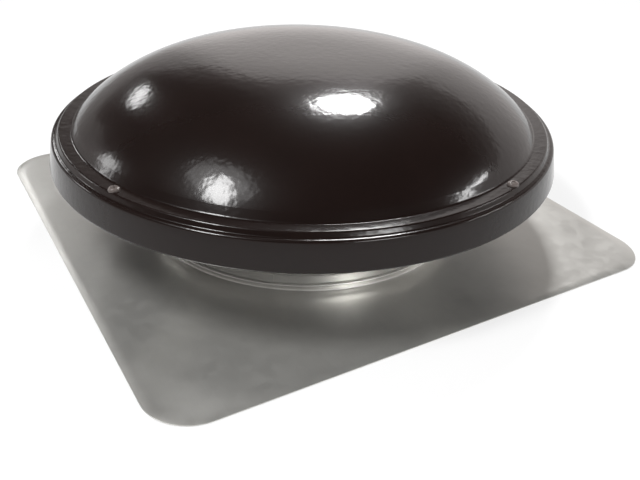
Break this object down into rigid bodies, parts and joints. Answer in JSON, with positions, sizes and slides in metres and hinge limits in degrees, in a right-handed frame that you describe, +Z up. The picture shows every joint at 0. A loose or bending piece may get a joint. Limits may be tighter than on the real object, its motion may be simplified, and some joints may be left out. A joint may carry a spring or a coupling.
{
  "type": "roof-mount powered attic fan",
  "caption": "Roof-mounted powered attic fan: dark brown spun-steel dome over a galvanised throat on a square flashing, with an axial fan, motor, bird guard and thermostat box.",
  "frame": {"origin": "centre of the throat on the roof plane, at the flashing's underside", "axes": "+Z up out of the roof along the fan's axis, +X towards the control box, +Y towards the flashing's upper edge, away from the picture's viewpoint"},
  "size_m": [0.61, 0.61, 0.2058],
  "materials": {
    "dome_enamel": "gloss very dark brown baked enamel on spun steel",
    "galvanised": "satin mill-galvanised steel sheet",
    "zinc_hardware": "bright zinc plate",
    "zinc_wire": "galvanised welded wire",
    "rivet_aluminium": "bare aluminium",
    "cast_bell": "die-cast end shield, thin grey paint",
    "motor_enamel": "semi-gloss black enamel",
    "lamination_steel": "punched electrical steel, blued edges",
    "winding_copper": "varnished copper wire",
    "bearing_bronze": "sintered bronze",
    "washer_fibre": "vulcanised fibre",
    "isolator_rubber": "moulded rubber",
    "ground_steel": "ground steel",
    "hub_steel": "zinc-plated pressed and turned steel",
    "black_screw": "black oxide",
    "blade_aluminium": "mill-finish aluminium sheet",
    "thermostat_plastic": "moulded phenolic",
    "dial_plastic": "moulded ivory plastic"
  },
  "bodies": {
    "frame": {"flashing": "galvanised", "throat_ring": "galvanised", "dome": "dome_enamel", "dome_bracket_1": "galvanised", "dome_bracket_2": "galvanised", "dome_bracket_3": "galvanised", "dome_bracket_4": "galvanised", "dome_screws": "dome_enamel", "dome_nuts": "zinc_hardware", "dome_bracket_rivets": "rivet_aluminium", "bird_guard": "zinc_wire", "guard_band": "galvanised", "guard_band_screw": "zinc_hardware", "motor_bracket": "zinc_hardware", "motor_bracket_bolts": "zinc_hardware", "motor_bracket_nuts": "zinc_hardware", "lower_end_bell": "cast_bell", "upper_end_bell": "cast_bell", "motor_shell": "motor_enamel", "stator_core": "lamination_steel", "stator_windings": "winding_copper", "lower_bearing": "bearing_bronze", "upper_bearing": "bearing_bronze", "motor_isolators": "isolator_rubber", "through_bolts": "zinc_hardware", "through_bolt_nuts": "zinc_hardware", "control_box": "galvanised", "control_box_cover": "galvanised", "cover_screws": "zinc_hardware", "box_screws": "zinc_hardware", "thermostat": "thermostat_plastic", "lead_grommet": "isolator_rubber"},
    "rotor": {"motor_shaft": "ground_steel", "rotor_core": "lamination_steel", "thrust_washers": "washer_fibre", "shaft_slinger": "isolator_rubber", "fan_hub": "hub_steel", "hub_set_screw": "black_screw", "fan_spider": "hub_steel", "fan_blade_1": "blade_aluminium", "fan_blade_2": "blade_aluminium", "fan_blade_3": "blade_aluminium", "fan_blade_4": "blade_aluminium", "fan_blade_5": "blade_aluminium", "blade_rivets": "rivet_aluminium"},
    "dial": {"thermostat_dial": "dial_plastic"}
  },
  "joints": [
    {"name": "fan_spin", "type": "hinge", "parent": "frame", "child": "rotor", "pos_m": [0, 0, 0.1], "axis": [0, 0, 1], "continuous": true},
    {"name": "dial_turn", "type": "hinge", "parent": "frame", "child": "dial", "pos_m": [0.15837, 0, 0.0085], "axis": [0, 0, -1], "range_deg": [0, 270]}
  ]
}
